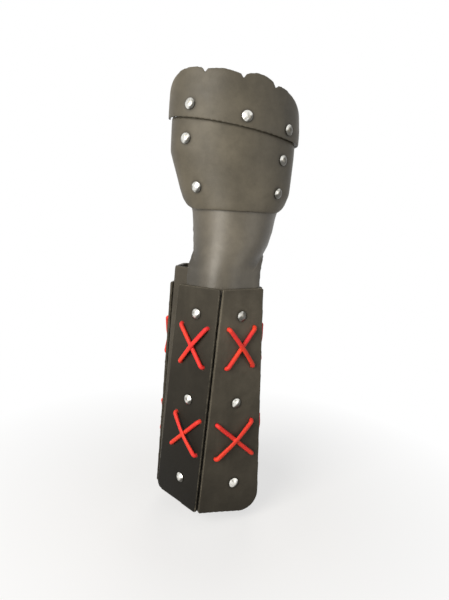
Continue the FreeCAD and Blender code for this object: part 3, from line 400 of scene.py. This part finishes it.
def mixed(tree, share, one, two):
    # one colour into another by a share; both may be plain colours or sockets
    node = tree.nodes.new("ShaderNodeMix")
    node.data_type = "RGBA"
    entries = [entry for entry in node.inputs if entry.name == "Factor" and entry.type == "VALUE"]
    entries += [entry for entry in node.inputs if entry.name in ("A", "B") and entry.type == "RGBA"]
    for entry, value in zip(entries, (share, one, two)):
        if isinstance(value, bpy.types.NodeSocket):
            tree.links.new(value, entry)
        else:
            entry.default_value = value if entry.type == "VALUE" else (*value, 1)
    return [entry for entry in node.outputs if entry.type == "RGBA"][0]


def point_share(tree, name):
    node = tree.nodes.new("ShaderNodeAttribute")
    node.attribute_name = name
    return node.outputs["Fac"]


def leather(name, dye, rough, edge, painted_shade_foot=1.0, sheen=0.5, scuff=0.35):
    # dyed leather: cloudy dye, a pebble grain, long faint scuffs, a worn edge, and grime with painted
    # contact shade at the rivets;
    # painted_shade_foot is how much of the dye's own colour is left at the elbow end, the rest painted in as
    # shade
    material, tree, shader = new_material(name)
    place = tree.nodes.new("ShaderNodeTexCoord").outputs["Object"]
    cloud = noise_of(tree, place, CLOUD_SCALE, 6.0, 0.6)
    mottle = noise_of(tree, place, MOTTLE_SCALE, 5.0, 0.65)
    scuffs = noise_of(tree, place, SCUFF_SCALE, 3.0, 0.5, SCUFF_STRETCH)
    pale, deep, rubbed = (tuple(value * share for value in dye) for share in (PALE, DEEP, RUBBED))
    colour = mixed(tree, mapped(tree, cloud, 0.33, 0.67), deep, pale)
    colour = mixed(tree, mapped(tree, mottle, 0.45, 0.8, 0.0, 0.4), colour, deep)
    colour = mixed(tree, mapped(tree, scuffs, 0.60, 0.78, 0.0, scuff), colour, rubbed)
    height = node_with(tree, "ShaderNodeSeparateXYZ", {0: place}).outputs["Z"]
    # painted shade: darker towards the elbow end, by painted_shade_foot
    colour = mixed(tree, mapped(tree, height, *FOOT_TO_WRIST, 1 - painted_shade_foot, 0.0), colour, GRIME_AND_SHADE)
    # painted shade: each piece's painted_shade value keeps that share of the colour, near black for the rest
    colour = mixed(tree, point_share(tree, "painted_shade"), GRIME_AND_SHADE, colour)
    # grime and painted contact shade in a ring round each rivet cap
    colour = mixed(tree, worked(tree, "MULTIPLY", point_share(tree, "dirt_and_shade"), 0.5), colour, GRIME_AND_SHADE)
    worn = worked(tree, "MULTIPLY", mapped(tree, point_share(tree, "edge"), 0.3, 0.95, 0.0, 0.75),
                  mapped(tree, mottle, 0.35, 0.6, 0.1, 1.0))
    tree.links.new(mixed(tree, worn, colour, edge), shader.inputs["Base Color"])
    cells = node_with(tree, "ShaderNodeTexVoronoi", {"Vector": place, "Scale": PEBBLE_SCALE}, feature="F1")
    fine = noise_of(tree, place, PORE_SCALE, 3.0, 0.6)
    relief = worked(tree, "ADD", worked(tree, "MULTIPLY", cells.outputs["Distance"], 0.6), fine)
    relief = worked(tree, "ADD", relief, worked(tree, "MULTIPLY", scuffs, 0.8))
    bump = node_with(tree, "ShaderNodeBump", {"Height": relief, "Strength": 0.35, "Distance": GRAIN_DEPTH})
    tree.links.new(bump.outputs[0], shader.inputs["Normal"])
    shine = worked(tree, "ADD", mapped(tree, cloud, 0.3, 0.7, rough - 0.05, rough + 0.05),
                   mapped(tree, mottle, 0.3, 0.7, -0.03, 0.05))
    tree.links.new(shine, shader.inputs["Roughness"])
    shader.inputs["Specular IOR Level"].default_value = sheen
    return material


# painted shade on each splint: the share of the dye's colour left at the elbow end and at the wrist end,
# least on the left front plate
PAINTED_SPLINT_SHADE = {"left_side": (0.5, 0.6), "left_front": (0.04, 0.4), "right_front": (1.0, 1.0),
         "right_side": (0.92, 0.92)}
# painted_shade_foot paints the splints darker towards the elbow end as shade
splint_leather = leather("splint_leather", (0.126, 0.112, 0.087), 0.45, (0.19, 0.17, 0.13),
                         painted_shade_foot=0.28, sheen=0.08)
for row, painted_shade in PAINTED_SPLINT_SHADE.items():
    leather_piece(row + "_splint", "forearm", splint_leather, SPLINT_GRID,
                  smooth=4, painted_shade=painted_shade)


# Forearm tube. One sheet of thick leather bent round the forearm and left open along the back, dyed as
# dark as the splints but with raw, paler edges, of which the cut upper rim shows at the wrist.
BASE_GRID = 1.2 * MM
# painted shade: the tube darker towards the elbow end, by painted_shade_foot
base_leather = leather("base_leather", (0.066, 0.058, 0.044), 0.52, (0.24, 0.21, 0.16), painted_shade_foot=0.6, sheen=0.2)
leather_piece("forearm_base", "forearm", base_leather, BASE_GRID, smooth=4)


# Wrist guard. A thinner, suppler sheet shaped over the wrist. Its tail is pushed down between the tube
# and the front splints, and its upper end lies under the hand plate. Shade is painted into it, darker low on
# the thumb side.
GUARD_GRID = 0.6 * MM
# where the guard is painted darker as shade: low on the thumb side
GUARD_SHADE_SIDE, GUARD_SHADE_ACROSS = -8 * MM, 14 * MM
GUARD_SHADE_TOP, GUARD_SHADE_DOWN = 262 * MM, 30 * MM
GUARD_SHADE_SHARE = 0.6
guard_leather = leather("guard_leather", (0.108, 0.095, 0.072), 0.39, (0.15, 0.13, 0.1),
                        sheen=0.5, scuff=0.2)
guard = leather_piece("wrist_guard", None, guard_leather, GUARD_GRID, smooth=8, ease=260)
places = coordinates(guard.data)
# painted shade: the guard's colour share lowered low on the thumb side
guard_shade = np.clip((GUARD_SHADE_SIDE - places[:, 0]) / GUARD_SHADE_ACROSS, 0, 1)
guard_shade *= np.clip((GUARD_SHADE_TOP - places[:, 2]) / GUARD_SHADE_DOWN, 0, 1)
guard.data.attributes["painted_shade"].data.foreach_set("value", (1 - GUARD_SHADE_SHARE * guard_shade).astype(np.float32))
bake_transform(guard)


# Hand plate and knuckle plate. Two formed plates of the same leather over the back of the hand; the
# knuckle plate laps over the hand plate and its upper edge is cut in scallops, one to each finger.
HAND_GRID = 0.75 * MM
KNUCKLE_GRID = 0.65 * MM
NOTCHES = ((-21.8 * MM, 384.1 * MM), (9.6 * MM, 380.2 * MM), (36.8 * MM, 376.8 * MM))
NOTCH_DEPTH = 2.4 * MM
NOTCH_HALF = 2.3 * MM
NOTCH_FADE = 6.0 * MM


def notched(piece):
    # the knife's small V between two scallops, left full by the smoothing, cut in again
    places = coordinates(piece.data)
    for across, height in NOTCHES:
        close = np.clip(1 - np.abs(places[:, 0] - across) / NOTCH_HALF, 0, 1)
        below = np.clip(1 - (height - places[:, 2]) / NOTCH_FADE, 0, 1)
        places[:, 2] -= NOTCH_DEPTH * close * below * (places[:, 1] < 0)
    place_points(piece.data, places)


plate_leather = leather("plate_leather", (0.1, 0.088, 0.065), 0.47, (0.12, 0.108, 0.085),
                        sheen=0.3, scuff=0.25)
leather_piece("hand_plate", "hand", plate_leather, HAND_GRID, smooth=4, ease=60)
notched(leather_piece("knuckle_plate", "knuckle", plate_leather, KNUCKLE_GRID,
                      smooth=4, ease=60))


# Knuckle hinge. A strip of the guard's supple leather under both plates, which joins them and bends
# along the knuckles. It shows only from the inside.
hinge = leather_piece("knuckle_hinge_leather", None, guard_leather, GUARD_GRID, smooth=4)
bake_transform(hinge)


# Straps. Belt leather 2 mm thick: two closure straps with their chapes and keepers round the tube's
# opening, and two loops inside the plates for the palm and the fingers.
STRAP_GRID = 0.4 * MM
LOOP_GRID = 0.55 * MM
strap_leather = leather("strap_leather", (0.06, 0.053, 0.043), 0.45, (0.12, 0.1, 0.08), scuff=0.3)
for row in ("lower", "upper"):
    for part in ("strap", "buckle_chape", "keeper"):
        leather_piece(row + "_" + part, "forearm", strap_leather, STRAP_GRID, smooth=4)
leather_piece("palm_strap", "hand", strap_leather, LOOP_GRID, smooth=4)
leather_piece("finger_strap", "knuckle", strap_leather, LOOP_GRID, smooth=4)


# Laces. Round thong of 3.5 mm, dyed bright red and slightly waxy, sewn in crosses through the splints
# and the tube. Where one thong crosses another the upper one is pressed flatter, so it stands less proud.
LACE_LEVEL = 3.9 * MM
LACE_PRESS = 0.45
LACE_SWELL = 0.22 * MM
LACE_GRID = 0.42 * MM
FIBRE_SCALE = 1600.0
FIBRE_DEPTH = 0.15 * MM


def lace_material():
    # two close reds in clouds, darker between the fibres
    material, tree, shader = new_material("red_lace")
    place = tree.nodes.new("ShaderNodeTexCoord").outputs["Object"]
    cloud = noise_of(tree, place, 60.0, 3.0)
    fibre = noise_of(tree, place, FIBRE_SCALE, 4.0, 0.7)
    colour = mixed(tree, mapped(tree, cloud, 0.3, 0.7), (0.86, 0.035, 0.045), (0.93, 0.075, 0.03))
    colour = mixed(tree, mapped(tree, fibre, 0.5, 0.8, 0.0, 0.45), colour, (0.5, 0.01, 0.015))
    tree.links.new(colour, shader.inputs["Base Color"])
    bump = node_with(tree, "ShaderNodeBump", {"Height": fibre, "Strength": 0.5, "Distance": FIBRE_DEPTH})
    tree.links.new(bump.outputs[0], shader.inputs["Normal"])
    shader.inputs["Roughness"].default_value = 0.45
    shader.inputs["Specular IOR Level"].default_value = 0.2
    return material


def pressed_laces(node, splint, material):
    # the thongs of one splint, swelled a little and pressed down where they stand highest over it
    piece = merged_copy(node, node + "_thong")
    remeshed(piece, LACE_GRID, 3)
    under = merged_copy(splint, splint + "_face")
    face = BVHTree.FromObject(under, bpy.context.evaluated_depsgraph_get())
    places = coordinates(piece.data) + normals_of(piece.data) * LACE_SWELL
    for index, place in enumerate(places):
        spot, normal = face.find_nearest(place)[:2]
        lift = (Vector(place) - spot).dot(normal)
        if lift > LACE_LEVEL and place[0] * normal[0] + place[1] * normal[1] > 0:
            places[index] = Vector(place) - normal * (lift - LACE_LEVEL) * LACE_PRESS
    bpy.data.objects.remove(under)
    place_points(piece.data, places)
    piece.data.materials.append(material)
    piece.data.shade_smooth()
    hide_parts(node)
    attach(piece, "forearm")


red_lace = lace_material()
for row in ("left_side", "left_front", "right_front", "right_side"):
    pressed_laces(row + "_laces", row + "_splint", red_lace)


# Rivets. Domed cap rivets of 9 mm, nickel plated and set with a hammer, so no two domes shine quite
# alike. One shape is repeated on every rivet's axis, with the shank as long as its own grip.
CAP_RADIUS = 4.5 * MM
CAP_RIM = 0.5 * MM
SHANK_RADIUS = 1.5 * MM
BACK_RADIUS = 4.0 * MM
BACK_THICKNESS = 0.9 * MM
ROUND_SIDES = 40
SHANK_SIDES = 16
CAP_RINGS = 8
DENT = 0.16 * MM
DENT_SIZE = 520.0
CREASE = math.radians(40)
SEED = 7
# a patch of painted shade and dark reflection on each rivet cap, low on its side away from the thumb
CAP_SHADE_SIDE = (0.8, 0.0, -0.6)
CAP_SHADE_EDGE = 0.36
CAP_SHADE_TURN = 1.0
CAP_SHADE_FROM = 0.4
CAP_SHADE_SPAN = 0.15
CAP_SHADE_FADE = 0.25
CAP_SHADE_COLOUR = (0.06, 0.055, 0.045)
CAP_SHADE_SHARE = 0.9
STAIN_SCALE, SCRATCH_SCALE = 300.0, 1500.0
SCRATCH_STRETCH = (1.0, 0.15, 1.0)
SCRATCH_DEPTH = 0.05 * MM


def rivet_tree():
    # the group that puts a cap, a shank and a back cap on each point, turned to the point's axis
    tree = bpy.data.node_groups.new("cap_rivets", "GeometryNodeTree")
    tree.interface.new_socket("Points", in_out="INPUT", socket_type="NodeSocketGeometry")
    for name, kind in (("Cap radius", "NodeSocketFloat"), ("Dome height", "NodeSocketFloat"),
                       ("Dent depth", "NodeSocketFloat"), ("Seed", "NodeSocketInt"),
                       ("Metal", "NodeSocketMaterial")):
        tree.interface.new_socket(name, in_out="INPUT", socket_type=kind)
    tree.interface.new_socket("Rivets", in_out="OUTPUT", socket_type="NodeSocketGeometry")
    given = tree.nodes.new("NodeGroupInput").outputs
    axis = node_with(tree, "GeometryNodeInputNamedAttribute", {"Name": "axis"}, data_type="FLOAT_VECTOR")
    axis = axis.outputs[0]
    grip = node_with(tree, "GeometryNodeInputNamedAttribute", {"Name": "grip"}, data_type="FLOAT").outputs[0]
    turn = node_with(tree, "FunctionNodeAlignRotationToVector", {"Vector": axis}, axis="Z").outputs[0]

    cap = node_with(tree, "GeometryNodeMeshCylinder", {
        "Vertices": ROUND_SIDES, "Fill Segments": CAP_RINGS, "Radius": given["Cap radius"],
        "Depth": CAP_RIM})
    place = tree.nodes.new("GeometryNodeInputPosition").outputs[0]
    parts = node_with(tree, "ShaderNodeSeparateXYZ", {0: place})
    across = worked(tree, "ADD", worked(tree, "MULTIPLY", parts.outputs["X"], parts.outputs["X"]),
                    worked(tree, "MULTIPLY", parts.outputs["Y"], parts.outputs["Y"]))
    widest = worked(tree, "MULTIPLY", given["Cap radius"], given["Cap radius"])
    share = worked(tree, "DIVIDE", across, widest)
    bulge = worked(tree, "MULTIPLY", worked(tree, "SUBTRACT", 1.0, share),
                   worked(tree, "SUBTRACT", given["Dome height"], CAP_RIM))
    top = worked(tree, "GREATER_THAN", parts.outputs["Z"], 0.0)
    lift = worked(tree, "ADD", worked(tree, "MULTIPLY", bulge, top), CAP_RIM / 2)
    raised = node_with(tree, "ShaderNodeCombineXYZ", {"Z": lift}).outputs[0]
    domed = node_with(tree, "GeometryNodeSetPosition", {0: cap.outputs["Mesh"], "Offset": raised})

    shank = node_with(tree, "GeometryNodeMeshCylinder", {
        "Vertices": SHANK_SIDES, "Radius": SHANK_RADIUS, "Depth": 1.0})
    shank = node_with(tree, "GeometryNodeTransform", {"Geometry": shank.outputs["Mesh"],
                                                      "Translation": (0, 0, -0.5)})
    back = node_with(tree, "GeometryNodeMeshCylinder", {"Vertices": ROUND_SIDES, "Radius": BACK_RADIUS,
                                                        "Depth": BACK_THICKNESS})
    back = node_with(tree, "GeometryNodeTransform", {"Geometry": back.outputs["Mesh"],
                                                     "Translation": (0, 0, -BACK_THICKNESS / 2)})
    depth = worked(tree, "MULTIPLY", grip, -1.0)
    behind = node_with(tree, "ShaderNodeVectorMath", {0: axis, "Scale": depth}, operation="SCALE").outputs[0]
    sunk = node_with(tree, "GeometryNodeSetPosition", {"Geometry": given["Points"], "Offset": behind})
    long = node_with(tree, "ShaderNodeCombineXYZ", {"X": 1.0, "Y": 1.0, "Z": grip}).outputs[0]
    join = tree.nodes.new("GeometryNodeJoinGeometry")
    for points, shape, scale in ((given["Points"], domed, (1, 1, 1)), (given["Points"], shank, long),
                                 (sunk.outputs[0], back, (1, 1, 1))):
        copies = node_with(tree, "GeometryNodeInstanceOnPoints", {
            "Points": points, "Instance": shape.outputs[0], "Rotation": turn, "Scale": scale})
        tree.links.new(copies.outputs[0], join.inputs[0])
    real = node_with(tree, "GeometryNodeRealizeInstances", {"Geometry": join.outputs[0]})
    dents = node_with(tree, "ShaderNodeTexNoise", {"W": given["Seed"], "Scale": DENT_SIZE, "Detail": 1.0},
                      noise_dimensions="4D").outputs["Fac"]
    depth = worked(tree, "MULTIPLY", worked(tree, "SUBTRACT", dents, 0.5), given["Dent depth"])
    normal = tree.nodes.new("GeometryNodeInputNormal").outputs[0]
    push = node_with(tree, "ShaderNodeVectorMath", {0: normal, "Scale": depth}, operation="SCALE").outputs[0]
    beaten = node_with(tree, "GeometryNodeSetPosition", {"Geometry": real.outputs[0], "Offset": push})
    smooth = node_with(tree, "GeometryNodeSetShadeSmooth", {0: beaten.outputs[0]})
    metal = node_with(tree, "GeometryNodeSetMaterial", {0: smooth.outputs[0], "Material": given["Metal"]})
    node_with(tree, "NodeGroupOutput", {0: metal.outputs[0]})
    return tree


def shaded_caps(mesh, axes):
    # a patch of painted shade and dark reflection on each cap, low on its far side from the thumb; a cap
    # that is turned to that side has a wider one, which leaves only a bright crescent
    places = coordinates(mesh)
    starts = np.array([start for start, way in axes])
    nearest = np.argmin(np.linalg.norm(places[:, None] - starts[None], axis=2), axis=1)
    ways = np.array([way for start, way in axes])
    flat = np.array(CAP_SHADE_SIDE) - ways * (ways @ np.array(CAP_SHADE_SIDE))[:, None]
    flat /= np.linalg.norm(flat, axis=1)[:, None]
    side = ((places - starts[nearest]) * flat[nearest]).sum(axis=1) / CAP_RADIUS
    turned = np.clip((ways[nearest, 0] - CAP_SHADE_FROM) / CAP_SHADE_SPAN, 0, 1)
    point_value(mesh, "cap_shade", np.clip((side - CAP_SHADE_EDGE + CAP_SHADE_TURN * turned) / CAP_SHADE_FADE, 0, 1))


def metal(name, colour, rough, stain):
    # plated metal: a slightly uneven polish, stains, fine scratches and, on the rivets, a painted patch of
    # shade and dark reflection
    material, tree, shader = new_material(name)
    place = tree.nodes.new("ShaderNodeTexCoord").outputs["Object"]
    cloud = noise_of(tree, place, STAIN_SCALE, 4.0)
    scratch = noise_of(tree, place, SCRATCH_SCALE, 2.0, 0.5, SCRATCH_STRETCH)
    stained = mixed(tree, mapped(tree, cloud, 0.47, 0.64, 0.0, 0.85), colour, stain)
    # the rivets' painted shade and dark reflection, mixed into the metal's colour
    dull = worked(tree, "MULTIPLY", point_share(tree, "cap_shade"), CAP_SHADE_SHARE)
    tree.links.new(mixed(tree, dull, stained, CAP_SHADE_COLOUR), shader.inputs["Base Color"])
    polish = worked(tree, "ADD", mapped(tree, cloud, 0.3, 0.7, rough - 0.05, rough + 0.09),
                    mapped(tree, scratch, 0.5, 0.8, 0.0, 0.08))
    tree.links.new(polish, shader.inputs["Roughness"])
    bump = node_with(tree, "ShaderNodeBump", {"Height": scratch, "Strength": 0.15,
                                              "Distance": SCRATCH_DEPTH})
    tree.links.new(bump.outputs[0], shader.inputs["Normal"])
    shader.inputs["Metallic"].default_value = 1.0
    return material


nickel = metal("rivet_nickel", (0.8, 0.79, 0.74), 0.26, (0.2, 0.19, 0.16))
tree = rivet_tree()
for node, body in RIVET_GROUPS.items():
    group = rivets[node]
    points = bpy.data.meshes.new(node + "_points")
    points.from_pydata([centre + way * (high - CAP_DOME) for centre, way, low, high in group], [], [])
    axis = points.attributes.new("axis", "FLOAT_VECTOR", "POINT")
    axis.data.foreach_set("vector", np.array([rivet[1] for rivet in group], dtype=np.float32).ravel())
    point_value(points, "grip", [high - CAP_DOME - low - BACK_THICKNESS for centre, way, low, high in group])
    piece = bpy.data.objects.new(node + "_caps", points)
    scene.collection.objects.link(piece)
    set_rivets = piece.modifiers.new("rivets", "NODES")
    set_rivets.node_group = tree
    values = {"Cap radius": CAP_RADIUS, "Dome height": CAP_DOME, "Dent depth": DENT, "Seed": SEED,
              "Metal": nickel}
    for item in tree.interface.items_tree:
        if item.in_out == "INPUT" and item.name in values:
            set_rivets[item.identifier] = values[item.name]
    applied(piece)
    shaded_caps(piece.data, [(centre + way * (high - CAP_DOME), way) for centre, way, low, high in group])
    piece.data.set_sharp_from_angle(angle=CREASE)
    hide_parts(node)
    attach(piece, body)


# Buckles. Two plain strap buckles, each a frame and a tongue of bent steel wire, nickel plated,
# held in the chapes on the tube's back. The tongue turns on the frame's bar.
steel = metal("buckle_steel", (0.74, 0.73, 0.70), 0.26, (0.42, 0.4, 0.36))
for row in ("lower", "upper"):
    for part, body in (("frame", "forearm"), ("tongue", row + "_tongue")):
        node = row + "_buckle_" + part
        piece = merged_copy(node, node + "_wire")
        piece.data.shade_smooth()
        piece.data.set_sharp_from_angle(angle=CREASE)
        piece.data.materials.append(steel)
        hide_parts(node)
        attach(piece, body)
